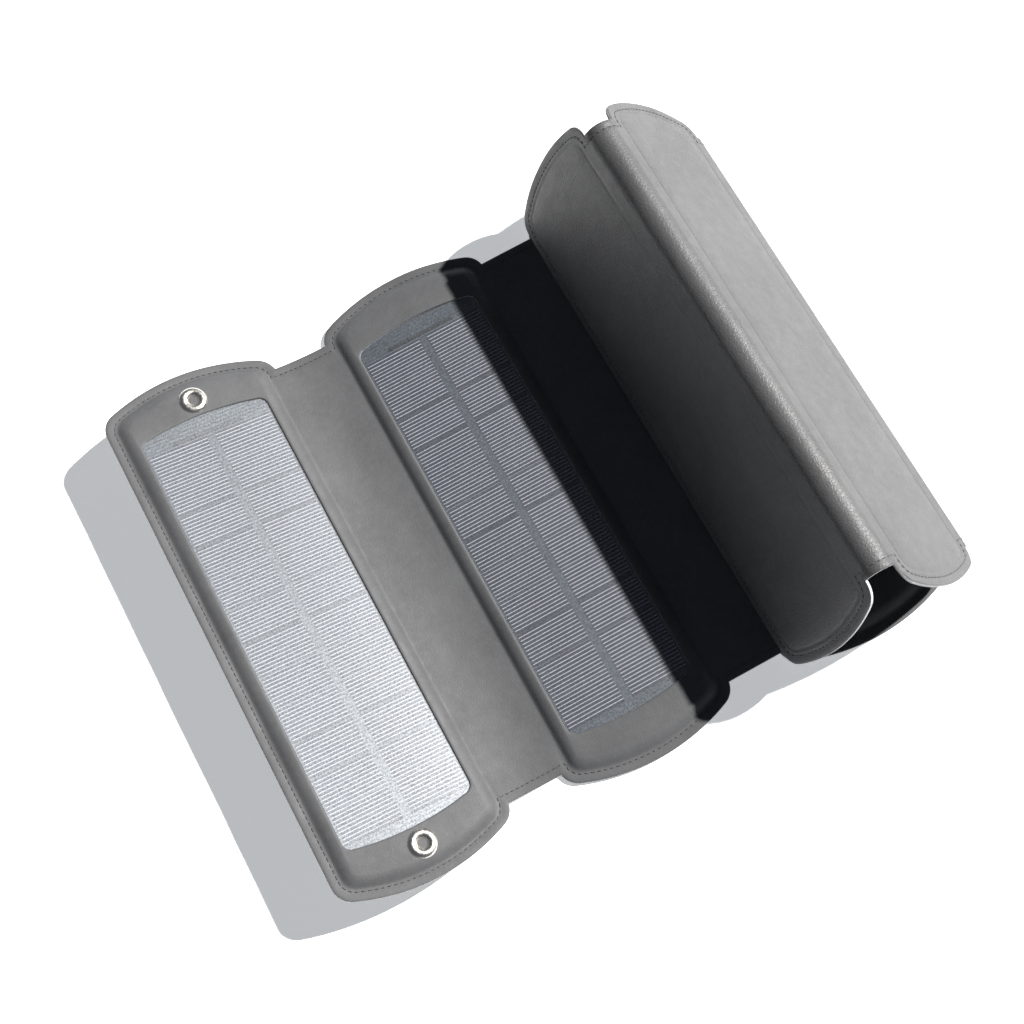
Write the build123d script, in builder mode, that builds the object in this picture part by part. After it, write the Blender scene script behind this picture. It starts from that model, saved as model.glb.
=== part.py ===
from build123d import *
from math import cos, radians, sin, sqrt
import os

# Roll-up solar charger: five padded leather sections joined by four soft gussets.
#
# The strip lies along X, its sections run along Y and +Z is up.  Section 3 lies flat.
# Sections 1 and 2 follow to the left; sections 4 and 5 stand over section 3 as a tent.
# A sheet is described by its middle surface: height 0 is the glue line between the front
# and back leather, and positive heights are on the front, where the solar cells are.

os.makedirs("parts", exist_ok=True)

# ---- driving dimensions, millimetres and degrees ----
WIDTHS = {1: 88.0, 2: 88.0, 3: 88.0, 4: 78.0, 5: 78.0}    # section widths, seam to seam
GUSSETS = {1: 27.0, 2: 27.0, 3: 20.0, 4: 16.0}            # free leather between sections
TURNS = {1: 15.4, 2: 0.0, 3: 128.3, 4: 116.8}             # bend of each gusset as it lies
GUSSET_HALF = 120.0        # half the length of a gusset's edge-to-edge seam
CROWN_HALF = 135.0         # half the length of a section, crown to crown
CROWN_RADIUS = 100.0       # curve of a section's two ends
CORNER = 10.0              # rounding between a section's side and its curved end

SKIN = 1.0                 # leather thickness, one layer
HINGE_GAP = 0.3            # clearance around a gusset's rounded fold edge
PAD_INSET = 5.5            # stitched flange around the padded middle
PAD_HEIGHT = 3.8           # front of the padded middle above the glue line
PAD_ROUND = 2.0            # rounding of the padded middle's top edge
PAD_WALL = 1.8             # side wall of the padded middle
BOARD_HEIGHT = 1.4         # fibre board inside each section
BOARD_FIT = 0.2            # play of the fibre board in its pocket

WINDOW_MARGIN = 12.2       # from a section's side to its window
WINDOW_HALF = 110.5        # half the length of the window, crown to crown
WINDOW_RADIUS = 139.0      # curve of the window's ends
WINDOW_CORNER = 4.5
MODULE_LIP = 2.3           # module board hidden under the window's edge
MODULE_BOARD = 1.0         # module board thickness
FOIL = 0.1                 # connecting foil thickness
FOIL_WIDTH = 2.0
CELL = 0.2                 # cell thickness
FILM = 0.4                 # clear film thickness
FILM_FIT = 0.1             # play of the film in the window
CELL_ROWS = 12
CELL_PITCH = 17.17
CELL_GAP = 0.5             # between neighbouring rows of cells
CELL_COLUMN_GAP = 4.4      # between the two columns of cells
CELL_SIDE = 1.2            # from the window's side to a cell
CELL_SHIFT = -2.6          # the rows stand nearer to the lower end

CABLE_WIDTH = 12.0         # flat cable that runs through the whole strip
CABLE = 0.4
CABLE_Y = -74.0

EYELET_Y = 118.8
EYELET_BORE = 2.2          # radii
EYELET_BARREL = 3.1
EYELET_HOLE = 3.2
EYELET_FLANGE = 6.9
EYELET_DOME = 1.3          # height of the rounded flange over the leather
WASHER_RADIUS = 5.8
WASHER = 0.5
EYELET_ROLL = 4.3          # rolled end of the barrel over the washer
ROLL = 0.5                 # thickness of the rolled end

BOX_LENGTH = 62.0          # regulator housing, along Y
BOX_WIDTH = 44.0
BOX_HEIGHT = 11.6
BOX_Y = -74.0
BOX_WALL = 1.6
BOX_CORNER = 5.0
LID = 1.8
CIRCUIT_BOARD = 1.2
BOARD_PLAY = 0.5           # gap between the circuit board and the walls
POST = 1.0                 # height of the posts under the circuit board
POST_RADIUS = 2.4
POST_INSET = 3.0           # from the inner wall to a post's centre
USB_SPACING = 18.0
USB_WIDTH = 13.1
USB_HEIGHT = 5.7
USB_DEPTH = 14.0
USB_FIT = 0.1              # play of a socket in its opening
USB_SHELL = 0.35
USB_TONGUE = 1.8
LENS_RADIUS = 2.5
LENS_RISE = 0.4
SCREW_RADIUS = 1.0
SCREW_FIT = 0.1
SCREW_HEAD = 2.1
HEAD_DEPTH = 1.1
DRIVE_LENGTH = 2.6         # cross recess in a screw's head
DRIVE_WIDTH = 0.6
DRIVE_DEPTH = 0.6
LEAD_WIDTH = 8.0           # ribbon that climbs from the flat cable to the circuit board
LEAD = 0.8
LEAD_FIT = 0.2

QUARTER = 0.25             # the two fold lines of a gusset stand at its quarter points


# ---- the folded line of the strip, seen from its end ----
def heading_vector(heading):
    return cos(radians(heading)), sin(radians(heading))


def advance(point, heading, length, turn=0.0):
    """Follow a stretch that turns evenly from heading to heading + turn."""
    if turn == 0.0:
        dx, dz = heading_vector(heading)
        return point[0] + length * dx, point[1] + length * dz
    radius = length / radians(turn)
    before, after = radians(heading), radians(heading + turn)
    return (
        point[0] + radius * (sin(after) - sin(before)),
        point[1] + radius * (cos(before) - cos(after)),
    )


def retreat(point, heading, length, turn=0.0):
    """Start of a stretch that begins at heading and ends at point."""
    dx, dz = advance((0.0, 0.0), heading, length, turn)
    return point[0] - dx, point[1] - dz


def follow_strip(left_of_section_3):
    """Left end and heading of each section and each gusset."""
    section = {3: (left_of_section_3, 0.0)}
    gusset = {}
    for i in (3, 4):
        point, heading = section[i]
        seam = advance(point, heading, WIDTHS[i])
        gusset[i] = (seam, heading)
        next_point = advance(seam, heading, GUSSETS[i], TURNS[i])
        section[i + 1] = (next_point, heading + TURNS[i])
    for i in (2, 1):
        point, heading = section[i + 1]
        before = heading - TURNS[i]
        seam = retreat(point, before, GUSSETS[i], TURNS[i])
        gusset[i] = (seam, before)
        section[i] = (retreat(seam, before, WIDTHS[i]), before)
    return section, gusset


# The origin stands under the middle of the strip as it lies.
draft, _ = follow_strip((0.0, SKIN))
free_edge, free_heading = draft[1]
leftmost = free_edge[0] + SKIN * sin(radians(free_heading))
fold_radius = GUSSETS[3] / radians(TURNS[3])
rightmost = WIDTHS[3] + fold_radius + SKIN
SHIFT = -(leftmost + rightmost) / 2.0
SECTION, GUSSET = follow_strip((SHIFT, SKIN))


def section_plane(i, height=0.0):
    """Plane on section i, X across it, Y along it, origin at its middle."""
    point, heading = SECTION[i]
    x, z = advance(point, heading, WIDTHS[i] / 2.0)
    dx, dz = heading_vector(heading)
    return Plane(origin=(x, 0, z), x_dir=(dx, 0, dz), z_dir=(-dz, 0, dx)).offset(height)


def fold_point(i, length):
    """Point and heading at a length along gusset i."""
    seam, heading = GUSSET[i]
    turn = TURNS[i] * length / GUSSETS[i]
    return advance(seam, heading, length, turn), heading + turn


def profile_plane(i, length, half_width=GUSSET_HALF, y=0.0):
    """Plane across gusset i: X along the strip, Y towards its front."""
    (x, z), heading = fold_point(i, length)
    dx, dz = heading_vector(heading)
    return Plane(origin=(x, y + half_width, z), x_dir=(dx, 0, dz), z_dir=(0, -1, 0))


def bent_band(i, length, back, front):
    """Bent strip of gusset i with its middle on the origin, between two heights."""
    with BuildSketch() as band:
        if TURNS[i] == 0.0:
            with Locations((0, (back + front) / 2.0)):
                Rectangle(length, front - back)
        else:
            radius = GUSSETS[i] / radians(TURNS[i])
            sweep = TURNS[i] * length / GUSSETS[i]
            with BuildLine():
                outer = CenterArc((0, radius), radius - back, -90 - sweep / 2.0, sweep)
                inner = CenterArc((0, radius), radius - front, -90 - sweep / 2.0, sweep)
                Line(outer @ 0, inner @ 0)
                Line(outer @ 1, inner @ 1)
            make_face()
    return band.sketch


def wings(i, back, front, half_width=GUSSET_HALF, y=0.0):
    """Profiles of the quarters of gussets that belong to section i."""
    length = {g: GUSSETS[g] * QUARTER - SKIN - HINGE_GAP for g in GUSSET}
    places = []
    if i in GUSSET:
        places.append((i, length[i] / 2.0, length[i]))
    if i - 1 in GUSSET:
        places.append((i - 1, GUSSETS[i - 1] - length[i - 1] / 2.0, length[i - 1]))
    profiles = []
    for g, middle, span in places:
        with BuildSketch(profile_plane(g, middle, half_width, y)) as profile:
            add(bent_band(g, span, back, front))
        profiles.append(profile.sketch)
    return profiles


def crowned(width, half, radius, corner):
    """Panel outline with straight sides, curved ends and rounded corners."""
    side = width / 2.0
    shoulder = half - radius + sqrt(radius**2 - side**2)
    with BuildSketch() as outline:
        with BuildLine():
            ThreePointArc((side, shoulder), (0, half), (-side, shoulder))
            Line((-side, shoulder), (-side, -shoulder))
            ThreePointArc((-side, -shoulder), (0, -half), (side, -shoulder))
            Line((side, -shoulder), (side, shoulder))
        make_face()
        fillet(outline.vertices(), corner)
    return outline.sketch


def section_outline(i, inset=0.0, height=0.0):
    """Outline of section i moved inwards all round, at a height."""
    corner = max(CORNER - inset / 2.0, WINDOW_CORNER)
    with BuildSketch(section_plane(i, height)) as outline:
        add(crowned(WIDTHS[i] - 2.0 * inset, CROWN_HALF - inset, CROWN_RADIUS - inset, corner))
    return outline.sketch


def window_outline(i, growth, height):
    """Window outline of section i moved outwards all round, at a height."""
    width = WIDTHS[i] - 2.0 * WINDOW_MARGIN + 2.0 * growth
    corner = WINDOW_CORNER + growth
    with BuildSketch(section_plane(i, height)) as outline:
        add(crowned(width, WINDOW_HALF + growth, WINDOW_RADIUS + growth, corner))
    return outline.sketch


def eyelet_holes(height):
    """Holes of section 1 that its two eyelets pass through."""
    with BuildSketch(section_plane(1, height)) as holes:
        with Locations((0, EYELET_Y), (0, -EYELET_Y)):
            Circle(EYELET_HOLE)
    return holes.sketch


def lead_slot(height):
    """Slot of section 5 for the ribbon that climbs to the regulator."""
    with BuildSketch(section_plane(5, height)) as slot:
        with Locations((-LEAD, CABLE_Y)):
            Rectangle(LEAD + 2.0 * LEAD_FIT, LEAD_WIDTH + 2.0 * LEAD_FIT)
    return slot.sketch


def save(part, name):
    part.label = name
    export_step(part, f"parts/{name}.step")


# ---- leather, fibre board and flat cable of each section ----
HAS_MODULE = (1, 2, 3, 4)
POCKET = PAD_HEIGHT - SKIN
CELL_BASE = BOARD_HEIGHT + MODULE_BOARD + FOIL
FILM_BASE = CELL_BASE + CELL

for i in SECTION:
    with BuildPart() as front_cover:
        extrude(section_outline(i, PAD_INSET), amount=PAD_HEIGHT)
        top = front_cover.faces().sort_by(Axis(section_plane(i).origin, section_plane(i).z_dir))[-1]
        fillet(top.edges(), PAD_ROUND)
        extrude(section_outline(i), amount=SKIN)
        extrude(section_outline(i, PAD_INSET + PAD_WALL), amount=POCKET, mode=Mode.SUBTRACT)
        if i in HAS_MODULE:
            extrude(window_outline(i, 0.0, 0.0), amount=PAD_HEIGHT, mode=Mode.SUBTRACT)
        for wing in wings(i, 0.0, SKIN):
            extrude(wing, amount=2.0 * GUSSET_HALF)
        if i == 1:
            extrude(eyelet_holes(0.0), amount=PAD_HEIGHT, mode=Mode.SUBTRACT)
        if i == 5:
            extrude(lead_slot(0.0), amount=PAD_HEIGHT, mode=Mode.SUBTRACT)
    save(front_cover.part, f"front_cover_{i}")

    with BuildPart() as flat_cable:
        start = 0.0 if i == 1 else -WIDTHS[i] / 2.0
        stop = 0.0 if i == 5 else WIDTHS[i] / 2.0
        with BuildSketch(section_plane(i, -CABLE)):
            with Locations(((start + stop) / 2.0, CABLE_Y)):
                Rectangle(stop - start, CABLE_WIDTH)
        extrude(amount=CABLE)
        for wing in wings(i, -CABLE, 0.0, CABLE_WIDTH / 2.0, CABLE_Y):
            extrude(wing, amount=CABLE_WIDTH)
    save(flat_cable.part, f"flat_cable_{i}")

    with BuildPart() as back_cover:
        extrude(section_outline(i, 0.0, -SKIN), amount=SKIN)
        for wing in wings(i, -SKIN, 0.0):
            extrude(wing, amount=2.0 * GUSSET_HALF)
        add(flat_cable.part, mode=Mode.SUBTRACT)
        if i == 1:
            extrude(eyelet_holes(-SKIN), amount=SKIN, mode=Mode.SUBTRACT)
    save(back_cover.part, f"back_cover_{i}")

    with BuildPart() as fibre_board:
        extrude(section_outline(i, PAD_INSET + PAD_WALL + BOARD_FIT), amount=BOARD_HEIGHT)
        if i == 1:
            extrude(eyelet_holes(0.0), amount=BOARD_HEIGHT, mode=Mode.SUBTRACT)
        if i == 5:
            extrude(lead_slot(0.0), amount=BOARD_HEIGHT, mode=Mode.SUBTRACT)
    save(fibre_board.part, f"fibre_board_{i}")

# ---- solar module of sections 1 to 4 ----
for i in HAS_MODULE:
    window_width = WIDTHS[i] - 2.0 * WINDOW_MARGIN
    cell_width = (window_width - CELL_COLUMN_GAP) / 2.0 - CELL_SIDE
    column_x = (cell_width + CELL_COLUMN_GAP) / 2.0
    string_length = CELL_ROWS * CELL_PITCH

    with BuildPart() as module_board:
        extrude(window_outline(i, MODULE_LIP, BOARD_HEIGHT), amount=MODULE_BOARD)
    save(module_board.part, f"module_board_{i}")

    with BuildPart() as connecting_foils:
        with BuildSketch(section_plane(i, BOARD_HEIGHT + MODULE_BOARD)):
            with Locations((-column_x, CELL_SHIFT), (column_x, CELL_SHIFT)):
                Rectangle(FOIL_WIDTH, string_length)
            with Locations((0, CELL_SHIFT + (string_length + FOIL_WIDTH) / 2.0)):
                Rectangle(2.0 * column_x + FOIL_WIDTH, FOIL_WIDTH)
        extrude(amount=FOIL)
    save(connecting_foils.part, f"connecting_foils_{i}")

    with BuildPart() as solar_cells:
        with BuildSketch(section_plane(i, CELL_BASE)):
            with Locations((0, CELL_SHIFT)):
                with GridLocations(2.0 * column_x, CELL_PITCH, 2, CELL_ROWS):
                    Rectangle(cell_width, CELL_PITCH - CELL_GAP)
        extrude(amount=CELL)
    save(solar_cells.part, f"solar_cells_{i}")

    with BuildPart() as clear_film:
        extrude(window_outline(i, -FILM_FIT, FILM_BASE), amount=FILM)
    save(clear_film.part, f"clear_film_{i}")

# ---- gussets: the middle half of each one is a body between two fold lines ----
for i in GUSSET:
    middle = GUSSETS[i] / 2.0
    span = GUSSETS[i] * (1.0 - 2.0 * QUARTER)
    profile = profile_plane(i, middle)
    fold_edges = []
    for length in (middle - span / 2.0, middle + span / 2.0):
        (x, z), _ = fold_point(i, length)
        fold_edges.append(profile.to_local_coords(Vector(x, GUSSET_HALF, z)))

    with BuildPart() as gusset_front:
        with BuildSketch(profile):
            add(bent_band(i, span, 0.0, SKIN))
            with Locations(*fold_edges):
                Circle(SKIN)
            add(bent_band(i, span + 4.0 * SKIN, -2.0 * SKIN, 0.0), mode=Mode.SUBTRACT)
        extrude(amount=2.0 * GUSSET_HALF)
    save(gusset_front.part, f"gusset_front_{i}")

    with BuildPart() as gusset_cable:
        with BuildSketch(profile_plane(i, middle, CABLE_WIDTH / 2.0, CABLE_Y)):
            add(bent_band(i, span, -CABLE, 0.0))
        extrude(amount=CABLE_WIDTH)
    save(gusset_cable.part, f"gusset_cable_{i}")

    with BuildPart() as gusset_back:
        with BuildSketch(profile):
            add(bent_band(i, span, -SKIN, 0.0))
            with Locations(*fold_edges):
                Circle(SKIN)
            add(bent_band(i, span + 4.0 * SKIN, 0.0, 2.0 * SKIN), mode=Mode.SUBTRACT)
        extrude(amount=2.0 * GUSSET_HALF)
        add(gusset_cable.part, mode=Mode.SUBTRACT)
    save(gusset_back.part, f"gusset_back_{i}")

# ---- two eyelets near the crowns of section 1, each set over a washer ----
eyelet_bottom = -SKIN - WASHER
for name, side in (("upper", 1), ("lower", -1)):
    across = section_plane(1)
    centre = across.from_local_coords((0, side * EYELET_Y, 0))
    turned = Plane(origin=centre, x_dir=across.x_dir, z_dir=-across.y_dir)

    with BuildPart() as eyelet:
        with BuildSketch(turned):
            with BuildLine():
                rim = (EYELET_FLANGE, PAD_HEIGHT)
                throat = (EYELET_BORE, PAD_HEIGHT)
                crest = ((EYELET_FLANGE + EYELET_BORE) / 2.0, PAD_HEIGHT + EYELET_DOME)
                ThreePointArc(rim, crest, throat)
                Polyline(
                    throat,
                    (EYELET_BORE, eyelet_bottom - ROLL),
                    (EYELET_ROLL, eyelet_bottom - ROLL),
                    (EYELET_ROLL, eyelet_bottom),
                    (EYELET_BARREL, eyelet_bottom),
                    (EYELET_BARREL, PAD_HEIGHT),
                    rim,
                )
            make_face()
        revolve(axis=Axis(centre, across.z_dir))
    save(eyelet.part, f"eyelet_{name}")

    with BuildPart() as washer:
        with BuildSketch(section_plane(1, eyelet_bottom)):
            with Locations((0, side * EYELET_Y)):
                Circle(WASHER_RADIUS)
                Circle(EYELET_HOLE, mode=Mode.SUBTRACT)
        extrude(amount=WASHER)
    save(washer.part, f"eyelet_washer_{name}")

# ---- regulator housing on the front of section 5 ----
seat = section_plane(5, PAD_HEIGHT)
housing = Plane(
    origin=seat.from_local_coords((0, BOX_Y, 0)), x_dir=seat.x_dir, z_dir=seat.z_dir
)
inner_width = BOX_WIDTH - 2.0 * BOX_WALL
inner_length = BOX_LENGTH - 2.0 * BOX_WALL
inner_corner = BOX_CORNER - BOX_WALL
board_level = BOX_WALL + POST
usb_level = board_level + CIRCUIT_BOARD
lid_level = BOX_HEIGHT - LID
screw_spacing_x = inner_width - 2.0 * POST_INSET
screw_spacing_y = inner_length - 2.0 * POST_INSET
usb_face = -BOX_LENGTH / 2.0
usb_centres = (-USB_SPACING / 2.0, USB_SPACING / 2.0)

with BuildPart() as regulator_base:
    with BuildSketch(housing):
        RectangleRounded(BOX_WIDTH, BOX_LENGTH, BOX_CORNER)
    extrude(amount=lid_level)
    with BuildSketch(housing.offset(BOX_WALL)):
        RectangleRounded(inner_width, inner_length, inner_corner)
    extrude(amount=lid_level, mode=Mode.SUBTRACT)
    with BuildSketch(housing.offset(BOX_WALL)):
        with GridLocations(screw_spacing_x, screw_spacing_y, 2, 2):
            Circle(POST_RADIUS)
            Circle(SCREW_RADIUS + SCREW_FIT, mode=Mode.SUBTRACT)
    extrude(amount=POST)
    with BuildSketch(housing.offset(usb_level)):
        with Locations(*[(x, usb_face) for x in usb_centres]):
            Rectangle(USB_WIDTH, 4.0 * BOX_WALL)
    extrude(amount=lid_level, mode=Mode.SUBTRACT)
    extrude(lead_slot(PAD_HEIGHT), amount=BOX_WALL, mode=Mode.SUBTRACT)
save(regulator_base.part, "regulator_base")

with BuildPart() as regulator_board:
    with BuildSketch(housing.offset(board_level)):
        RectangleRounded(
            inner_width - 2.0 * BOARD_PLAY, inner_length - 2.0 * BOARD_PLAY, inner_corner
        )
        with GridLocations(screw_spacing_x, screw_spacing_y, 2, 2):
            Circle(SCREW_RADIUS + SCREW_FIT, mode=Mode.SUBTRACT)
    extrude(amount=CIRCUIT_BOARD)
save(regulator_board.part, "regulator_board")

with BuildPart() as regulator_lead:
    with BuildSketch(section_plane(5)):
        with Locations((-LEAD, CABLE_Y)):
            Rectangle(LEAD, LEAD_WIDTH)
    extrude(amount=PAD_HEIGHT + board_level)
save(regulator_lead.part, "regulator_lead")

for name, x in zip(("left", "right"), usb_centres):
    with BuildPart() as usb_socket:
        with BuildSketch(housing.offset(usb_level)):
            with Locations((x, usb_face + USB_DEPTH / 2.0)):
                Rectangle(USB_WIDTH - 2.0 * USB_FIT, USB_DEPTH)
        extrude(amount=USB_HEIGHT)
        mouth_width = USB_WIDTH - 2.0 * USB_FIT - 2.0 * USB_SHELL
        mouth_height = USB_HEIGHT - 2.0 * USB_SHELL
        with BuildSketch(housing.offset(usb_level + USB_SHELL)):
            with Locations((x, usb_face + USB_DEPTH / 2.0 - USB_SHELL)):
                Rectangle(mouth_width, USB_DEPTH)
        extrude(amount=mouth_height, mode=Mode.SUBTRACT)
        tongue_level = usb_level + USB_SHELL + (mouth_height - USB_TONGUE) / 2.0
        with BuildSketch(housing.offset(tongue_level)):
            with Locations((x, usb_face + USB_DEPTH / 2.0 + USB_SHELL)):
                Rectangle(mouth_width - USB_TONGUE, USB_DEPTH - 2.0 * USB_SHELL)
        extrude(amount=USB_TONGUE)
    save(usb_socket.part, f"usb_socket_{name}")

with BuildPart() as regulator_lid:
    with BuildSketch(housing.offset(lid_level)):
        RectangleRounded(BOX_WIDTH, BOX_LENGTH, BOX_CORNER)
        with GridLocations(screw_spacing_x, screw_spacing_y, 2, 2):
            Circle(SCREW_RADIUS + SCREW_FIT, mode=Mode.SUBTRACT)
        Circle(LENS_RADIUS, mode=Mode.SUBTRACT)
    extrude(amount=LID)
    with BuildSketch(housing.offset(BOX_HEIGHT - HEAD_DEPTH)):
        with GridLocations(screw_spacing_x, screw_spacing_y, 2, 2):
            Circle(SCREW_HEAD + SCREW_FIT)
    extrude(amount=HEAD_DEPTH, mode=Mode.SUBTRACT)
save(regulator_lid.part, "regulator_lid")

with BuildPart() as indicator_lens:
    with BuildSketch(housing.offset(lid_level)):
        Circle(LENS_RADIUS)
    extrude(amount=LID + LENS_RISE)
    fillet(indicator_lens.edges().sort_by(Axis(housing.origin, housing.z_dir))[-1], LENS_RISE)
save(indicator_lens.part, "indicator_lens")

with BuildPart() as regulator_screws:
    with BuildSketch(housing.offset(BOX_HEIGHT - HEAD_DEPTH)):
        with GridLocations(screw_spacing_x, screw_spacing_y, 2, 2):
            Circle(SCREW_HEAD)
    extrude(amount=HEAD_DEPTH)
    with BuildSketch(housing.offset(BOX_WALL)):
        with GridLocations(screw_spacing_x, screw_spacing_y, 2, 2):
            Circle(SCREW_RADIUS)
    extrude(amount=BOX_HEIGHT - HEAD_DEPTH - BOX_WALL)
    with BuildSketch(housing.offset(BOX_HEIGHT - DRIVE_DEPTH)):
        with GridLocations(screw_spacing_x, screw_spacing_y, 2, 2):
            Rectangle(DRIVE_LENGTH, DRIVE_WIDTH)
            Rectangle(DRIVE_WIDTH, DRIVE_LENGTH)
    extrude(amount=DRIVE_DEPTH, mode=Mode.SUBTRACT)
save(regulator_screws.part, "regulator_screws")
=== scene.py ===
import math

import bmesh
import bpy
from mathutils import Matrix, Vector


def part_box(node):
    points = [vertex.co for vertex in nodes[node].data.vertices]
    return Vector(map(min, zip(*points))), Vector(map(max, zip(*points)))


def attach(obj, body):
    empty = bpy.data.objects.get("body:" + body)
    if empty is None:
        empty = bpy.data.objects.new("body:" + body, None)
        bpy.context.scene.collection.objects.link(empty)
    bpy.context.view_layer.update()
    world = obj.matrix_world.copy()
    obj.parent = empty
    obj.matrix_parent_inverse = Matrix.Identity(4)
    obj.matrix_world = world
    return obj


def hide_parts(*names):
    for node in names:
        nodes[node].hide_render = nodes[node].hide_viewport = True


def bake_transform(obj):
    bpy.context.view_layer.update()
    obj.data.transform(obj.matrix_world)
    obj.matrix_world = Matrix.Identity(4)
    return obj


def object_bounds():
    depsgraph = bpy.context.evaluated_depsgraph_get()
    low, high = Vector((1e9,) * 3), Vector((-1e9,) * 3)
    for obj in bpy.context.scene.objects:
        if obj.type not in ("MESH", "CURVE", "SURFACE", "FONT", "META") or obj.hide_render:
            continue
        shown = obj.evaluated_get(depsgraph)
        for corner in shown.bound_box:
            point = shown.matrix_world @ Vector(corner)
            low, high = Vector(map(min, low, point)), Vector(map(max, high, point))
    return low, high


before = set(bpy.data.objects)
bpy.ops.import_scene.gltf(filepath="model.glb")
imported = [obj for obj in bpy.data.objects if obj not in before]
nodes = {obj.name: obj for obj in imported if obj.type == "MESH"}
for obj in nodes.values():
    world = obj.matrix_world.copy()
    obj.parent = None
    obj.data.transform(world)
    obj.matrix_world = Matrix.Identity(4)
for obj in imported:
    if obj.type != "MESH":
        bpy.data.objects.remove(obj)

cad_low, cad_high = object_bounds()
MM = 0.001

# ---- sizes of the strip, millimetres and degrees ----
WIDTHS = {1: 88.0, 2: 88.0, 3: 88.0, 4: 78.0, 5: 78.0}
GUSSETS = {1: 27.0, 2: 27.0, 3: 20.0, 4: 16.0}
TURNS = {1: 15.4, 2: 0.0, 3: 128.3, 4: 116.8}
GUSSET_HALF = 120.0
CROWN_HALF = 135.0
CROWN_RADIUS = 100.0
CORNER = 10.0
SKIN = 1.0
BACK = 0.86                # the flange is a little thinner than the boarded middle
PAD_HEIGHT = 3.8
POCKET = 2.8
WINDOW_MARGIN = 12.2
WINDOW_HALF = 110.5
WINDOW_RADIUS = 139.0
WINDOW_CORNER = 4.5
CABLE_WIDTH = 12.0
CABLE_Y = -74.0
STITCH_INSET = 4.0
STITCH_PITCH = 2.9
STITCH_LENGTH = 2.1
STITCH_RADIUS = 0.27
SHEET_LEAST = 10.0         # gusset halves narrower than this are gathered in narrow
GUSSET_WAVE = 0.22         # unevenness of the soft gussets
FLANGE_WAVE = 0.28         # and of the loose edges
PRESSED = 0.16             # depth of a sewn seam's groove
THREAD_SINK = 0.02         # how far a seam's thread line lies inside the leather's face
FINGER_PITCH = 1.77        # printed lines of a solar cell
CELL_PITCH = 17.17         # rows of cells along a section
CELL_SHIFT = -2.6
EYELET_Y = 118.8
BARREL = 2.5               # radius inside which an eyelet's barrel is painted with dark brown shade

# (per mm along the strip, per mm across it, phase, weight) of each wave of the leather
RIPPLES = (
    (0.061, 0.043, 1.3, 1.0),
    (0.147, -0.083, 0.4, 0.7),
    (0.029, 0.171, 2.2, 0.5),
    (0.211, 0.127, 4.1, 0.4),
)

# ---- light and camera ----
SUN_AZIMUTH = 1.0
SUN_ELEVATION = 41.5
SUN_WIDTH = 1.1
SUN_POWER = 10.2
LENS = 58.008
CAMERA_PLACE = (-0.07455, -0.21271, 0.75235)
CAMERA_AHEAD = (0.08157, 0.27156, -0.95896)
CAMERA_ABOVE = (0.47312, 0.8363, 0.27706)


# ---- the folded line of the strip ----
def advance(point, heading, length, turn=0.0):
    """The end of a straight or evenly curved stretch of the strip, seen from its edge."""
    if turn == 0.0:
        a = math.radians(heading)
        return point[0] + length * math.cos(a), point[1] + length * math.sin(a)
    radius = length / math.radians(turn)
    before, after = math.radians(heading), math.radians(heading + turn)
    return (
        point[0] + radius * (math.sin(after) - math.sin(before)),
        point[1] + radius * (math.cos(before) - math.cos(after)),
    )


def retreat(point, heading, length, turn=0.0):
    """The start of a stretch that ends at a point, where heading is the one it starts with."""
    dx, dz = advance((0.0, 0.0), heading, length, turn)
    return point[0] - dx, point[1] - dz


def follow_strip(left_of_section_3):
    """Left seam and heading of every section and gusset, worked outwards from section 3."""
    section, gusset = {3: (left_of_section_3, 0.0)}, {}
    for i in (3, 4):
        point, heading = section[i]
        seam = advance(point, heading, WIDTHS[i])
        gusset[i] = (seam, heading)
        section[i + 1] = (advance(seam, heading, GUSSETS[i], TURNS[i]), heading + TURNS[i])
    for i in (2, 1):
        point, heading = section[i + 1]
        before = heading - TURNS[i]
        seam = retreat(point, before, GUSSETS[i], TURNS[i])
        gusset[i] = (seam, before)
        section[i] = (retreat(seam, before, WIDTHS[i]), before)
    return section, gusset


low_film, high_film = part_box("clear_film_3")
SECTION, GUSSET = follow_strip(((low_film[0] + high_film[0]) / 2.0 / MM - WIDTHS[3] / 2.0, SKIN))

START = {1: 0.0}           # distance of each section's left seam along the flat strip
for g in (1, 2, 3, 4):
    START[g + 1] = START[g] + WIDTHS[g] + GUSSETS[g]


def place(point, heading, y, height):
    a = math.radians(heading)
    return Vector((point[0] - math.sin(a) * height, y, point[1] + math.cos(a) * height)) * MM


def on_section(i, u, y, height):
    """A point of section i: u across it from its middle, y along it, height over the glue line."""
    start, heading = SECTION[i]
    return place(advance(start, heading, WIDTHS[i] / 2.0 + u), heading, y, height)


def on_gusset(i, length, y, height):
    seam, heading = GUSSET[i]
    turn = TURNS[i] * length / GUSSETS[i]
    return place(advance(seam, heading, length, turn), heading + turn, y, height)


def attached(i, u):
    return (u < 0 and i - 1 in GUSSET) or (u > 0 and i in GUSSET)


def smooth(t):
    t = min(1.0, max(0.0, t))
    return t * t * (3.0 - 2.0 * t)


def ripple(s, y):
    """Slow unevenness of soft leather, from -1 to 1, the same on both sides of every seam."""
    total = sum(weight * math.sin(a * s + b * y + phase) for a, b, phase, weight in RIPPLES)
    return total / sum(weight for _, _, _, weight in RIPPLES)


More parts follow.
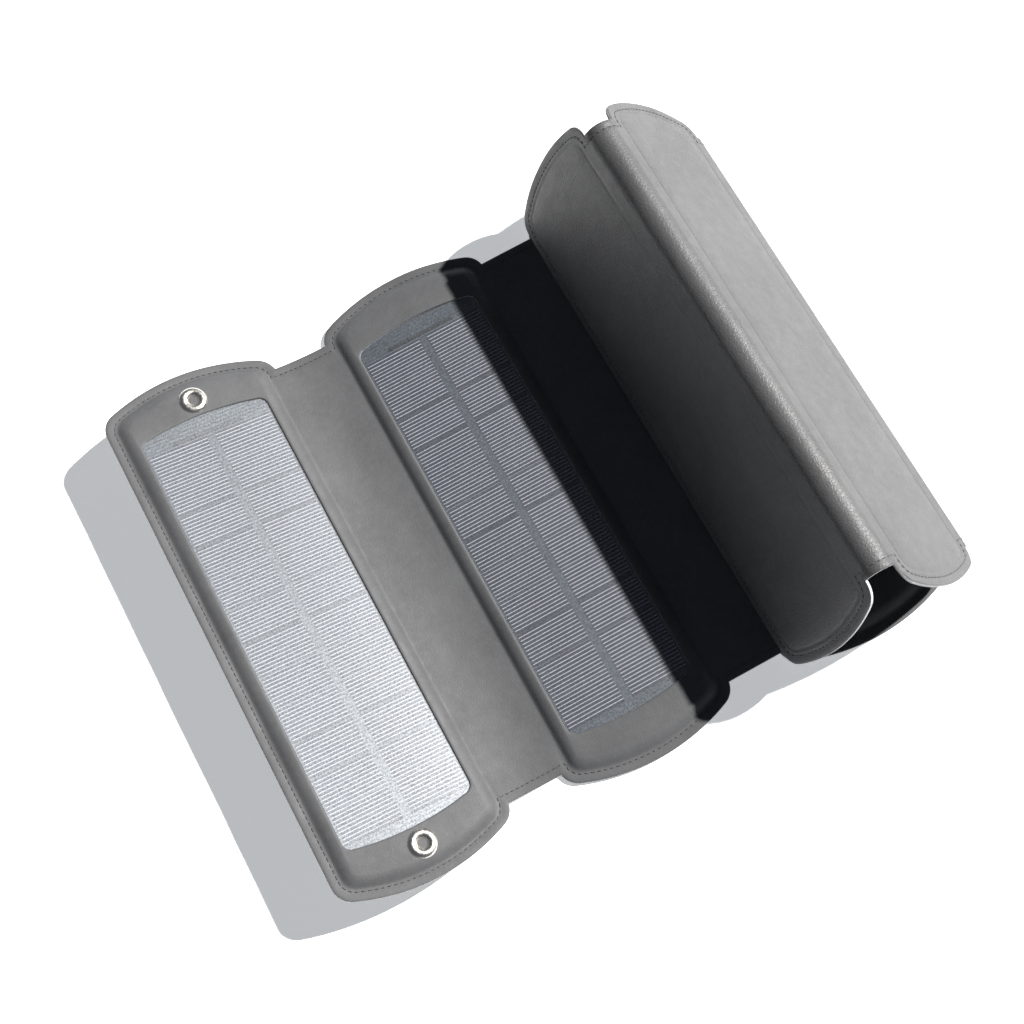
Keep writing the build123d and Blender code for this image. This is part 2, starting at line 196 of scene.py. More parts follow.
# ---- outlines ----
def crowned(width, half, radius, corner, sides=20, corners=9, crowns=22):
    """Closed outline with straight sides, curved ends and rounded corners, from +u upwards."""
    side = width / 2.0
    centre = half - radius
    fillet = (side - corner, centre + math.sqrt((radius - corner) ** 2 - (side - corner) ** 2))
    bend = math.atan2(fillet[1] - centre, fillet[0])
    quarter = [(side, fillet[1] * k / sides) for k in range(sides)]
    for k in range(corners):
        a = bend * k / corners
        quarter.append((fillet[0] + corner * math.cos(a), fillet[1] + corner * math.sin(a)))
    for k in range(crowns + 1):
        a = bend + (math.pi / 2.0 - bend) * k / crowns
        quarter.append((radius * math.cos(a), centre + radius * math.sin(a)))
    upper = quarter + [(-u, v) for u, v in reversed(quarter[:-1])]
    return upper + [(-u, -v) for u, v in upper[1:-1]]


def section_ring(i, inset):
    corner = max(CORNER - inset / 2.0, WINDOW_CORNER)
    return crowned(WIDTHS[i] - 2.0 * inset, CROWN_HALF - inset, CROWN_RADIUS - inset, corner)


def window_ring(i, growth):
    width = WIDTHS[i] - 2.0 * WINDOW_MARGIN + 2.0 * growth
    corner = max(WINDOW_CORNER + growth, 0.4)
    return crowned(width, WINDOW_HALF + growth, WINDOW_RADIUS + growth, corner)


# ---- meshes ----
def new_object(name, bm, materials, body=None):
    bm.normal_update()
    for edge in bm.edges:
        if len(edge.link_faces) == 2 and edge.calc_face_angle(0.0) > 0.75:
            edge.smooth = False
    for face in bm.faces:
        face.smooth = True
    mesh = bpy.data.meshes.new(name)
    bm.to_mesh(mesh)
    bm.free()
    for material in materials:
        mesh.materials.append(material)
    obj = bpy.data.objects.new(name, mesh)
    bpy.context.scene.collection.objects.link(obj)
    if body:
        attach(obj, body)
    return obj


def add_ring(bm, layer, points, where, start):
    """One closed ring of (u, y, height) points, with its place on the flat strip kept for grain."""
    ring = []
    for u, y, height in points:
        vertex = bm.verts.new(where(u, y, height))
        vertex[layer] = Vector((start + u, y, height)) * MM
        ring.append(vertex)
    return ring


def bridge(bm, a, b, material=0):
    n = len(a)
    for k in range(n):
        face = bm.faces.new((a[k], a[(k + 1) % n], b[(k + 1) % n], b[k]))
        face.material_index = material


def cap(bm, ring):
    """Fill a ring with rungs from its right half to its left half."""
    n = len(ring)
    top = n // 4
    right = [ring[k % n] for k in range(-top, top + 1)]
    left = [ring[(2 * top - k) % n] for k in range(-top, top + 1)]
    for k in range(len(right) - 1):
        quad = [right[k], right[k + 1], left[k + 1], left[k]]
        quad = [v for j, v in enumerate(quad) if v not in quad[:j]]
        if len(quad) >= 3:
            bm.faces.new(quad)


def outward(bm):
    bmesh.ops.recalc_face_normals(bm, faces=bm.faces[:])


def stitched(i, u, y):
    """1 where a seam is sewn beside the edge, 0 where the flange runs on into a gusset."""
    if not attached(i, u):
        return 1.0
    return smooth((abs(y) - (GUSSET_HALF - STITCH_INSET - 1.5)) / 2.0)


def flange_lift(i, u, y):
    """How far the unsupported edge of a section waves, in millimetres."""
    free = 1.0
    if attached(i, u):
        free = smooth((abs(y) - GUSSET_HALF + 4.0) / 12.0) * smooth((WIDTHS[i] / 2.0 - abs(u)) / 12.0 + 0.15)
    return FLANGE_WAVE * free * (0.6 + ripple(START[i] + u + WIDTHS[i] / 2.0, y))


def front_leather(i, leather, edge):
    """The front cover: flange, moulded step, padded middle and the window's rolled lip."""
    bm = bmesh.new()
    layer = bm.verts.layers.float_vector.new("flat")
    start = START[i] + WIDTHS[i] / 2.0

    def where(u, y, height):
        return on_section(i, u, y, height)

    def ring(inset, height, groove=0.0, lift=0.0, rim=False):
        points = []
        for (u, y), (eu, ey) in zip(section_ring(i, inset), section_ring(i, 0.0)):
            h = height - groove * stitched(i, eu, ey) + lift * flange_lift(i, eu, ey)
            if rim and attached(i, eu) and abs(ey) < GUSSET_HALF:
                u = eu if abs(u) > WIDTHS[i] / 2.0 - 1.0 else u
                h = SKIN + lift * flange_lift(i, eu, ey)
            points.append((u, y, h))
        return add_ring(bm, layer, points, where, start)

    rings = [
        (ring(0.0, 0.0, lift=1.0), 1),
        (ring(0.0, 0.62, lift=1.0), 1),
        (ring(0.10, 0.86, lift=1.0, rim=True), 0),
        (ring(0.40, 0.99, lift=1.0, rim=True), 0),
        (ring(1.4, SKIN, lift=0.95), 0),
        (ring(STITCH_INSET - 0.7, SKIN, lift=0.7), 0),
        (ring(STITCH_INSET, SKIN, groove=PRESSED, lift=0.6), 0),
        (ring(STITCH_INSET + 0.6, SKIN + 0.02, lift=0.3), 0),
        (ring(5.0, SKIN + 0.05), 0),
        (ring(5.5, SKIN + 0.22), 0),
        (ring(6.2, SKIN + 0.66), 0),
        (ring(7.0, SKIN + 1.24), 0),
        (ring(7.8, SKIN + 1.74), 0),
        (ring(8.7, SKIN + 2.18), 0),
        (ring(9.7, SKIN + 2.52), 0),
        (ring(10.7, PAD_HEIGHT - 0.04), 0),
    ]
    if i == 5:
        rings += [
            (ring(14.0, PAD_HEIGHT), 0),
            (ring(26.0, PAD_HEIGHT), 0),
        ]
        for (a, _), (b, material) in zip(rings, rings[1:]):
            bridge(bm, a, b, material)
        cap(bm, rings[-1][0])
        inner = [ring(8.2, POCKET - 0.4), ring(7.3, 0.0), rings[0][0]]
        bridge(bm, inner[2], inner[1])
        bridge(bm, inner[1], inner[0])
        cap(bm, inner[0])
    else:

        def window(growth, height):
            points = [(u, y, height) for u, y in window_ring(i, growth)]
            return add_ring(bm, layer, points, where, start)

        rings += [
            (window(1.1, PAD_HEIGHT), 0),
            (window(0.5, PAD_HEIGHT - 0.03), 0),
            (window(0.16, PAD_HEIGHT - 0.15), 0),
            (window(0.0, PAD_HEIGHT - 0.42), 0),
            (window(0.0, POCKET), 1),
            (ring(9.0, POCKET), 0),
            (ring(7.3, 0.6), 0),
            (ring(7.3, 0.0), 0),
        ]
        for (a, _), (b, material) in zip(rings, rings[1:]):
            bridge(bm, a, b, material)
        bridge(bm, rings[-1][0], rings[0][0])
    outward(bm)
    obj = new_object(f"front_leather_{i}", bm, [leather, edge], f"section_{i}")
    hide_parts(f"front_cover_{i}")
    return obj


def back_leather(i, leather, edge):
    """The back cover, which shows the board inside as a faint raised panel."""
    bm = bmesh.new()
    layer = bm.verts.layers.float_vector.new("flat")
    start = START[i] + WIDTHS[i] / 2.0

    def where(u, y, height):
        return on_section(i, u, y, height)

    def ring(inset, height, groove=0.0, lift=0.0, rim=False):
        points = []
        for (u, y), (eu, ey) in zip(section_ring(i, inset), section_ring(i, 0.0)):
            h = -height + groove * stitched(i, eu, ey) + lift * flange_lift(i, eu, ey)
            if rim and attached(i, eu) and abs(ey) < GUSSET_HALF:
                u = eu if abs(u) > WIDTHS[i] / 2.0 - 1.0 else u
                h = -BACK + lift * flange_lift(i, eu, ey)
            points.append((u, y, h))
        return add_ring(bm, layer, points, where, start)

    rings = [
        (ring(0.0, 0.0, lift=1.0), 1),
        (ring(0.0, BACK - 0.36, lift=1.0), 1),
        (ring(0.10, BACK - 0.14, lift=1.0, rim=True), 0),
        (ring(0.40, BACK, lift=1.0, rim=True), 0),
        (ring(1.4, BACK, lift=0.95), 0),
        (ring(STITCH_INSET - 0.7, BACK, lift=0.7), 0),
        (ring(STITCH_INSET, BACK, groove=PRESSED, lift=0.6), 0),
        (ring(STITCH_INSET + 0.7, BACK, lift=0.3), 0),
        (ring(6.0, BACK - 0.03), 0),
        (ring(6.7, BACK - 0.20), 0),
        (ring(7.4, BACK - 0.02), 0),
        (ring(8.3, SKIN), 0),
        (ring(16.0, SKIN), 0),
        (ring(28.0, SKIN), 0),
    ]
    for (a, _), (b, material) in zip(rings, rings[1:]):
        bridge(bm, a, b, material)
    cap(bm, rings[-1][0])
    inner = ring(5.8, 0.0)
    bridge(bm, rings[0][0], inner)
    cap(bm, inner)
    outward(bm)
    obj = new_object(f"back_leather_{i}", bm, [leather, edge], f"section_{i}")
    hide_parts(f"back_cover_{i}")
    return obj


def gusset_leather(i, half, side, leather, edge):
    """One layer of one half of gusset i, from a section's seam to the gusset's middle."""
    bm = bmesh.new()
    layer = bm.verts.layers.float_vector.new("flat")
    length = GUSSETS[i]
    start = START[i] + WIDTHS[i]
    sign, thick = (1.0, SKIN) if side == "front" else (-1.0, BACK)
    first, last = (0.0, length / 2.0) if half == "a" else (length / 2.0, length)
    steps = 18
    hair = 0.01
    stations = [first, first + hair]
    stations += [first + (last - first) * k / steps for k in range(1, steps)]
    stations += [last - hair, last]
    inner = [-GUSSET_HALF + STITCH_INSET + 2.0 + 3.5 * k for k in range(1, 66)]
    inner = [v for v in inner if v < GUSSET_HALF - STITCH_INSET - 2.0]

    def profile(l):
        """(y, height) round one cross-section."""
        soft = math.sin(math.pi * l / length) ** 2
        top = []
        for inset, h in ((0.0, 0.0), (0.0, thick - 0.38), (0.1, thick - 0.14), (0.4, thick),
                         (1.4, thick), (STITCH_INSET - 0.7, thick), (STITCH_INSET, thick - PRESSED),
                         (STITCH_INSET + 0.7, thick)):
            top.append((inset - GUSSET_HALF, h, inset))
        body = [(v, thick, 9.0) for v in inner]
        other = [(-v, h, inset) for v, h, inset in reversed(top)]
        out = []
        for v, h, inset in top + body + other:
            wave = GUSSET_WAVE * soft * ripple(start + l, v)
            out.append((v, sign * h + wave))
        under = [(v, GUSSET_WAVE * soft * ripple(start + l, v)) for v in (90.0, 45.0, 0.0, -45.0, -90.0)]
        return out + under

    rings = []
    for l in stations:
        ring = []
        for y, h in profile(l):
            vertex = bm.verts.new(on_gusset(i, l, y, h))
            vertex[layer] = Vector((start + l, y, h)) * MM
            ring.append(vertex)
        rings.append(ring)
    for a, b in zip(rings, rings[1:]):
        bridge(bm, a, b)
    bm.faces.new(rings[0])
    bm.faces.new(rings[-1])
    outward(bm)
    for face in bm.faces:
        heights = [abs(v[layer].z) for v in face.verts]
        ys = [abs(v.co.y) for v in face.verts]
        if min(ys) > (GUSSET_HALF - 0.05) * MM and min(heights) < 0.3 * MM:
            face.material_index = 1
    obj = new_object(f"gusset_{side}_leather_{i}{half}", bm, [leather, edge])
    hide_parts(f"gusset_{side}_{i}")
    return obj


def bend_with(obj, half):
    """Bake a gusset piece's placement into its mesh, the same for either half."""
    if half == "a":
        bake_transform(obj)
    else:
        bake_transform(obj)
    return obj


# ---- stitching ----
def along(points):
    """Running length of a polyline."""
    total = [0.0]
    for a, b in zip(points, points[1:]):
        total.append(total[-1] + math.hypot(b[0] - a[0], b[1] - a[1]))
    return total


def at_length(points, total, length):
    for k in range(len(points) - 1):
        if length <= total[k + 1] or k == len(points) - 2:
            t = (length - total[k]) / max(total[k + 1] - total[k], 1e-9)
            a, b = points[k], points[k + 1]
            return a[0] + (b[0] - a[0]) * t, a[1] + (b[1] - a[1]) * t


def add_stitch(bm, layer, path, total, middle, where, height, sign, start):
    """One stitch: a short twisted thread that dips into the leather at both ends."""
    stations, sides = 7, 6
    rings = []
    for k in range(stations):
        t = k / (stations - 1)
        length = min(max(middle + (t - 0.5) * STITCH_LENGTH, 0.0), total[-1])
        u, y = at_length(path, total, length)
        ahead = at_length(path, total, min(length + 0.2, total[-1]))
        behind = at_length(path, total, max(length - 0.2, 0.0))
        dx, dy = ahead[0] - behind[0], ahead[1] - behind[1]
        norm = math.hypot(dx, dy) or 1.0
        nx, ny = -dy / norm, dx / norm
        rise = height + sign * (0.24 * math.sin(math.pi * t) - 0.2)
        radius = STITCH_RADIUS * (0.7 + 0.3 * math.sin(math.pi * t))
        ring = []
        for j in range(sides):
            a = 2.0 * math.pi * (j + 0.5 * k) / sides
            offset, up = radius * math.cos(a), radius * math.sin(a)
            vertex = bm.verts.new(where(u + nx * offset, y + ny * offset, rise + up))
            vertex[layer] = Vector((start + length, offset, up)) * MM
            ring.append(vertex)
        rings.append(ring)
    for a, b in zip(rings, rings[1:]):
        bridge(bm, a, b)
    bm.faces.new(rings[0])
    bm.faces.new(rings[-1])


def section_paths(i):
    """The open seam lines of section i, each ending on a gusset's edge."""
    ring = section_ring(i, STITCH_INSET)
    n = len(ring)
    turn = GUSSET_HALF - STITCH_INSET
    side = WIDTHS[i] / 2.0
    top = n // 4
    upper = [ring[k % n] for k in range(0, 2 * top + 1)]
    lower = [ring[k % n] for k in range(2 * top, 4 * top + 1)]
    left, right = i - 1 in GUSSET, i in GUSSET

    def clip(points):
        beside = WIDTHS[i] / 2.0 - STITCH_INSET - 2.0
        return [(u, v) for u, v in points if not (attached(i, u) and abs(v) < turn and abs(u) > beside)]

    if left and right:
        begin = [(side, turn), (side - STITCH_INSET, turn)]
        end = [(STITCH_INSET - side, turn), (-side, turn)]
        path = begin + clip(upper) + end
        return [path, [(-u, -v) for u, v in path]]
    if right:
        whole = clip(upper)[:-1] + clip(lower)
    else:
        whole = clip([(-u, v) for u, v in upper])[:-1] + clip([(-u, v) for u, v in lower])
        side = -side
    inner = side - math.copysign(STITCH_INSET, side)
    return [[(side, turn), (inner, turn)] + whole + [(inner, -turn), (side, -turn)]]


def section_stitching(i, thread):
    bm = bmesh.new()
    layer = bm.verts.layers.float_vector.new("flat")
    for path in section_paths(i):
        total = along(path)
        count = int(total[-1] / STITCH_PITCH)
        for k in range(count):
            middle = (k + 0.5) * total[-1] / count
            for height, sign in ((SKIN - THREAD_SINK, 1.0), (THREAD_SINK - BACK, -1.0)):

                def where(u, y, h):
                    scale = CROWN_HALF / (CROWN_HALF - STITCH_INSET)
                    reach = min(WIDTHS[i] / 2.0, abs(u) * WIDTHS[i] / (WIDTHS[i] - 2.0 * STITCH_INSET))
                    lift = 0.6 * flange_lift(i, math.copysign(reach, u), y * scale)
                    return on_section(i, u, y, h + lift)

                add_stitch(bm, layer, path, total, middle, where, height, sign, START[i])
    outward(bm)
    return new_object(f"stitching_{i}", bm, [thread], f"section_{i}")


def gusset_stitching(i, half, thread):
    bm = bmesh.new()
    layer = bm.verts.layers.float_vector.new("flat")
    length = GUSSETS[i]
    count = max(2, round(length / 2.0 / STITCH_PITCH))
    first = 0.0 if half == "a" else length / 2.0
    for y in (GUSSET_HALF - STITCH_INSET, STITCH_INSET - GUSSET_HALF):
        path = [(0.0, y), (length, y)]
        total = along(path)
        for k in range(count):
            middle = first + (k + 0.5) * length / 2.0 / count
            for height, sign in ((SKIN - THREAD_SINK, 1.0), (THREAD_SINK - BACK, -1.0)):

                def where(l, v, h):
                    wave = GUSSET_WAVE * math.sin(math.pi * l / length) ** 2
                    return on_gusset(i, l, v, h + wave * ripple(START[i] + WIDTHS[i] + l, v))

                add_stitch(bm, layer, path, total, middle, where, height, sign, START[i] + WIDTHS[i])
    outward(bm)
    return new_object(f"gusset_stitching_{i}{half}", bm, [thread])


# ---- flat cable inside the strip ----
def cable_piece(name, spans, where, start, material, body=None):
    bm = bmesh.new()
    layer = bm.verts.layers.float_vector.new("flat")
    ribs = 24
    top, ridge, bottom = -0.05, 0.06, -0.4
    section = [(CABLE_WIDTH * (k / ribs - 0.5), top - ridge * (k % 2)) for k in range(ribs + 1)]
    section += [(v, bottom) for v, _ in reversed(section)]
    rings = []
    for l in spans:
        ring = []
        for v, h in section:
            vertex = bm.verts.new(where(l, CABLE_Y + v, h))
            vertex[layer] = Vector((start + l, v, h)) * MM
            ring.append(vertex)
        rings.append(ring)
    for a, b in zip(rings, rings[1:]):
        bridge(bm, a, b)
    bm.faces.new(rings[0])
    bm.faces.new(rings[-1])
    outward(bm)
    obj = new_object(name, bm, [material], body)
    return obj


# ---- materials ----
class Nodes:
    """A material's node tree, with short calls to add and join nodes."""

    def __init__(self, name):
        self.material = bpy.data.materials.new(name)
        self.material.use_nodes = True
        self.tree = self.material.node_tree
        self.tree.nodes.clear()
        self.output = self.tree.nodes.new("ShaderNodeOutputMaterial")

    def add(self, kind, inputs=None, **settings):
        node = self.tree.nodes.new(kind)
        for key, value in settings.items():
            setattr(node, key, value)
        for key, value in (inputs or {}).items():
            self.put(node, key, value)
        return node

    def put(self, node, key, value):
        socket = node.inputs[key]
        if isinstance(value, bpy.types.NodeSocket):
            self.tree.links.new(value, socket)
        else:
            socket.default_value = value

    def math(self, operation, a, b=0.0, c=0.0, clamp=False):
        node = self.add("ShaderNodeMath", {0: a, 1: b, 2: c}, operation=operation, use_clamp=clamp)
        return node.outputs[0]

    def noise(self, vector, scale, detail=3.0, roughness=0.55, distortion=0.0):
        node = self.add("ShaderNodeTexNoise", {"Vector": vector, "Scale": scale, "Detail": detail,
                                               "Roughness": roughness, "Distortion": distortion})
        return node.outputs["Fac"]

    def cells(self, vector, scale, feature="F1", randomness=1.0, smoothness=None):
        node = self.add("ShaderNodeTexVoronoi", {"Vector": vector, "Scale": scale, "Randomness": randomness},
                        feature=feature)
        if smoothness is not None:
            node.inputs["Smoothness"].default_value = smoothness
        return node.outputs["Distance"]

    def grey(self, fac, low, high, bottom=0.0, top=1.0):
        node = self.add("ShaderNodeMapRange", {"Value": fac, "From Min": low, "From Max": high,
                                               "To Min": bottom, "To Max": top})
        return node.outputs["Result"]

    def mix(self, fac, a, b):
        node = self.add("ShaderNodeMix", data_type="RGBA")
        for index, value in ((0, fac), (6, a), (7, b)):
            if isinstance(value, bpy.types.NodeSocket):
                self.tree.links.new(value, node.inputs[index])
            else:
                node.inputs[index].default_value = value if index == 0 else (*value, 1.0)
        return node.outputs[2]

    def bump(self, height, strength, distance, normal=None):
        node = self.add("ShaderNodeBump", {"Height": height, "Strength": strength, "Distance": distance})
        if normal is not None:
            self.tree.links.new(normal, node.inputs["Normal"])
        return node.outputs["Normal"]

    def surface(self, **inputs):
        names = {key.replace("_", " "): value for key, value in inputs.items()}
        shader = self.add("ShaderNodeBsdfPrincipled", names)
        self.tree.links.new(shader.outputs[0], self.output.inputs["Surface"])
        return shader

    def flat(self):
        """Place on the flat strip, in metres."""
        return self.add("ShaderNodeAttribute", attribute_name="flat").outputs["Vector"]

    def object(self, i=None):
        """Object coordinates, turned into section i's own frame if i is given."""
        place = self.add("ShaderNodeTexCoord").outputs["Object"]
        if i is None:
            return place
        heading = math.radians(SECTION[i][1])
        turn = Matrix.Rotation(heading, 3, "Y")
        middle = turn @ on_section(i, 0.0, 0.0, 0.0)
        mapping = self.add("ShaderNodeMapping", {"Vector": place, "Rotation": (0.0, heading, 0.0),
                                                 "Location": tuple(-middle)})
        return mapping.outputs["Vector"]


def leather_material(name, base, pebble, roughness, specular):
    """Coated leather: fine pebble grain, soft creases, slight fading and dust."""
    n = Nodes(name)
    flat = n.flat()
    slow = n.noise(flat, 26.0, 4.0, 0.6)
    fine = n.noise(flat, 420.0, 4.0, 0.6)
    speck = n.noise(flat, 2600.0, 2.0, 0.5)
    dark = tuple(c * 0.86 for c in base)
    light = tuple(c * 1.14 for c in base)
    tone = n.mix(n.grey(slow, 0.3, 0.7), dark, light)
    tone = n.mix(n.grey(fine, 0.42, 0.72, 0.0, 0.35), tone, tuple(min(1.0, c * 1.35) for c in base))
    tone = n.mix(n.grey(speck, 0.62, 0.74, 0.0, 0.30), tone, tuple(c * 2.1 for c in base))
    warped = n.add("ShaderNodeVectorMath", {0: flat}, operation="ADD")
    wobble = n.add("ShaderNodeTexNoise", {"Vector": flat, "Scale": 520.0, "Detail": 2.0})
    small = n.add("ShaderNodeVectorMath", {0: wobble.outputs["Color"], "Scale": 0.0006}, operation="SCALE")
    n.tree.links.new(small.outputs[0], warped.inputs[1])
    grain = n.cells(warped.outputs[0], 1150.0, feature="SMOOTH_F1", smoothness=0.35)
    creases = n.cells(warped.outputs[0], 640.0, feature="DISTANCE_TO_EDGE")
    crease = n.grey(creases, 0.0, 0.12)
    relief = n.math("ADD", n.math("MULTIPLY", grain, -0.55), n.math("MULTIPLY", crease, 0.45))
    normal = n.bump(relief, pebble, 0.00022)
    normal = n.bump(n.noise(flat, 2300.0, 3.0, 0.6), 0.35 * pebble, 0.00008, normal)
    normal = n.bump(n.noise(flat, 60.0, 3.0, 0.5), 0.16, 0.0006, normal)
    gloss = n.grey(n.noise(flat, 150.0, 4.0, 0.6), 0.3, 0.7, roughness - 0.05, roughness + 0.07)
    n.surface(Base_Color=tone, Roughness=gloss, Normal=normal, Specular_IOR_Level=specular,
              Sheen_Weight=0.12, Sheen_Roughness=0.45, Sheen_Tint=(0.85, 0.9, 1.0, 1.0))
    return n.material


def edge_material():
    """The raw cut edge, where the pale fabric under the coating shows, painted paler still to stand in for
    light catching the edges.
    """
    n = Nodes("cut_edge")
    flat = n.flat()
    threads = n.noise(flat, 1900.0, 3.0, 0.6)
    # pale fabric, painted lighter than it is as painted light on the edges
    tone = n.mix(n.grey(threads, 0.35, 0.65), (0.26, 0.26, 0.27), (0.62, 0.62, 0.63))
    n.surface(Base_Color=tone, Roughness=0.9, Normal=n.bump(threads, 0.5, 0.0001), Specular_IOR_Level=0.2)
    return n.material


def thread_material():
    """Waxed black polyester thread, two plies twisted."""
    n = Nodes("thread")
    flat = n.flat()
    wave = n.add("ShaderNodeTexWave", {"Vector": flat, "Scale": 480.0, "Distortion": 0.4},
                 wave_type="BANDS", bands_direction="DIAGONAL").outputs["Fac"]
    tone = n.mix(wave, (0.006, 0.006, 0.007), (0.05, 0.05, 0.055))
    n.surface(Base_Color=tone, Roughness=0.55, Normal=n.bump(wave, 0.6, 0.0001), Sheen_Weight=0.2)
    return n.material


def fibre_material():
    """Brown pressed fibre board."""
    n = Nodes("fibre_board")
    place = n.object()
    fibres = n.noise(place, 900.0, 5.0, 0.7, 1.5)
    tone = n.mix(n.grey(fibres, 0.3, 0.7), (0.16, 0.12, 0.08), (0.30, 0.24, 0.17))
    n.surface(Base_Color=tone, Roughness=0.88, Normal=n.bump(fibres, 0.4, 0.0002), Specular_IOR_Level=0.25)
    return n.material


def cable_material():
    """Ribbed insulation of the flat cable, slightly dusty."""
    n = Nodes("flat_cable")
    flat = n.flat()
    wave = n.add("ShaderNodeTexWave", {"Vector": flat, "Scale": 210.0, "Distortion": 0.0},
                 wave_type="BANDS", bands_direction="Y").outputs["Fac"]
    dirt = n.noise(flat, 300.0, 3.0)
    tone = n.mix(n.math("MULTIPLY", wave, dirt), (0.012, 0.012, 0.013), (0.07, 0.06, 0.05))
    n.surface(Base_Color=tone, Roughness=n.grey(dirt, 0.3, 0.7, 0.35, 0.55), Normal=n.bump(wave, 0.5, 0.0002))
    return n.material


def module_material(i):
    """Backing of the solar module: blue-grey laminate with a mottled weave."""
    n = Nodes(f"module_board_{i}")
    place = n.object(i)
    mottle = n.noise(place, 620.0, 5.0, 0.75)
    weave = n.noise(place, 2200.0, 2.0)
    tone = n.mix(n.grey(mottle, 0.36, 0.64), (0.006, 0.010, 0.013), (0.022, 0.030, 0.037))
    tone = n.mix(n.grey(weave, 0.56, 0.66, 0.0, 0.75), tone, (0.09, 0.105, 0.125))
    n.surface(Base_Color=tone, Roughness=0.6, Specular_IOR_Level=0.1, Normal=n.bump(mottle, 0.3, 0.0002))
    return n.material


def fingers(n, place, width=0.34):
    """Mask of the printed silver lines that run across a cell."""
    split = n.add("ShaderNodeSeparateXYZ", {"Vector": place})
    steps = n.math("FRACT", n.math("MULTIPLY", split.outputs["Y"], 1.0 / (FINGER_PITCH * MM)))
    away = n.math("ABSOLUTE", n.math("SUBTRACT", steps, 0.5))
    return n.grey(away, width * 0.5, width * 0.5 - 0.12, 0.0, 1.0)


def row_mask(n, place, gap=0.8):
    """0 in the dark margin between two rows of cells, 1 elsewhere."""
    split = n.add("ShaderNodeSeparateXYZ", {"Vector": place})
    above_zero = 40.0
    shift = above_zero - CELL_SHIFT / CELL_PITCH
    rows = n.math("FRACT", n.math("MULTIPLY_ADD", split.outputs["Y"], 1.0 / (CELL_PITCH * MM), shift))
    away = n.math("ABSOLUTE", n.math("SUBTRACT", rows, 0.5))
    rim = 0.5 - 0.5 * gap / CELL_PITCH
    return n.grey(away, rim, rim - 0.015)


def cell_material(i):
    """Dark blue silicon with printed silver lines."""
    n = Nodes(f"solar_cell_{i}")
    place = n.object(i)
    cloud = n.noise(place, 120.0, 3.0)
    grain = n.noise(place, 1800.0, 3.0)
    base = n.mix(n.grey(cloud, 0.3, 0.7), (0.020, 0.022, 0.028), (0.028, 0.031, 0.038))
    lines = n.math("MULTIPLY", fingers(n, place), row_mask(n, place))
    silver = n.mix(n.grey(grain, 0.35, 0.7), (0.18, 0.185, 0.20), (0.42, 0.43, 0.46))
    tone = n.mix(lines, base, silver)
    n.surface(Base_Color=tone, Roughness=0.5, Specular_IOR_Level=0.12,
              Normal=n.bump(n.math("ADD", lines, n.math("MULTIPLY", grain, 0.3)), 0.4, 0.00008))
    return n.material


def film_material(i):
    """Clear matt laminate: see-through, finely embossed, with a broad gloss that is weaker below."""
    n = Nodes(f"clear_film_{i}")
    place = n.object(i)
    fine = n.noise(place, 2400.0, 3.0, 0.6)
    slow = n.noise(place, 45.0, 3.0, 0.5)
    lines = fingers(n, place, 0.6)
    relief = n.math("ADD", n.math("MULTIPLY", lines, 0.5), fine)
    normal = n.bump(relief, 0.32, 0.00007)
    clear = n.add("ShaderNodeBsdfTransparent", {"Color": (0.97, 0.98, 1.0, 1.0)})
    gloss = n.add("ShaderNodeBsdfAnisotropic", {
        "Color": (0.93, 0.96, 1.0, 1.0),
        "Roughness": n.grey(slow, 0.3, 0.7, 0.45, 0.48),
        "Normal": normal,
    }, distribution="GGX")
    speckle = n.noise(place, 1250.0, 3.0, 0.7)
    share = n.math("ADD", n.math("MULTIPLY", lines, 0.012), n.grey(speckle, 0.38, 0.62, 0.044, 0.122))
    height = n.add("ShaderNodeSeparateXYZ", {"Vector": place}).outputs["Z"]
    upper_face = n.grey(height, 2.8 * MM, 3.0 * MM, 0.62, 1.0)
    share = n.math("MULTIPLY", share, upper_face)
    both = n.add("ShaderNodeMixShader", {0: share})
    n.tree.links.new(clear.outputs[0], both.inputs[1])
    n.tree.links.new(gloss.outputs[0], both.inputs[2])
    n.tree.links.new(both.outputs[0], n.output.inputs["Surface"])
    return n.material


def metal_material(name, tone, roughness, scale):
    """Plated or turned metal with fine handling marks."""
    n = Nodes(name)
    place = n.object()
    marks = n.noise(place, scale, 4.0, 0.65)
    scratches = n.noise(place, scale * 4.0, 2.0, 0.5, 3.0)
    dull = tuple(c * 0.72 for c in tone)
    colour = n.mix(n.grey(marks, 0.35, 0.75), tone, dull)
    n.surface(Base_Color=colour, Metallic=1.0, Normal=n.bump(scratches, 0.15, 0.00005),
              Roughness=n.grey(marks, 0.3, 0.7, roughness, roughness + 0.16))
    return n.material


def eyelet_material():
    """Bright nickel, with dark brown shade painted down in the barrel."""
    n = Nodes("eyelet_nickel")
    place = n.object(1)
    split = n.add("ShaderNodeSeparateXYZ", {"Vector": place})
    across = split.outputs["X"]
    along_y = n.math("SUBTRACT", n.math("ABSOLUTE", split.outputs["Y"]), EYELET_Y * MM)
    reach = n.math("SQRT", n.math("ADD", n.math("POWER", across, 2.0), n.math("POWER", along_y, 2.0)))
    marks = n.noise(place, 900.0, 4.0, 0.7)
    # painted shade: inside the barrel the nickel turns dark brown and less metallic, standing in for the
    # shade down the hole
    shade_reach = n.math("MULTIPLY_ADD", marks, 0.0006, reach)
    barrel_shade = n.grey(shade_reach, (BARREL + 0.5) * MM, (BARREL - 0.1) * MM)
    pits = n.noise(place, 2600.0, 3.0, 0.6)
    colour = n.mix(n.grey(marks, 0.4, 0.7), (0.88, 0.86, 0.82), (0.62, 0.58, 0.52))
    # painted shade colour of the barrel's inside
    colour = n.mix(barrel_shade, colour, (0.10, 0.062, 0.040))
    n.surface(Base_Color=colour, Metallic=n.grey(barrel_shade, 0.0, 1.0, 1.0, 0.3),
              Roughness=n.grey(marks, 0.3, 0.7, 0.16, 0.38), Normal=n.bump(pits, 0.35, 0.00009))
    return n.material


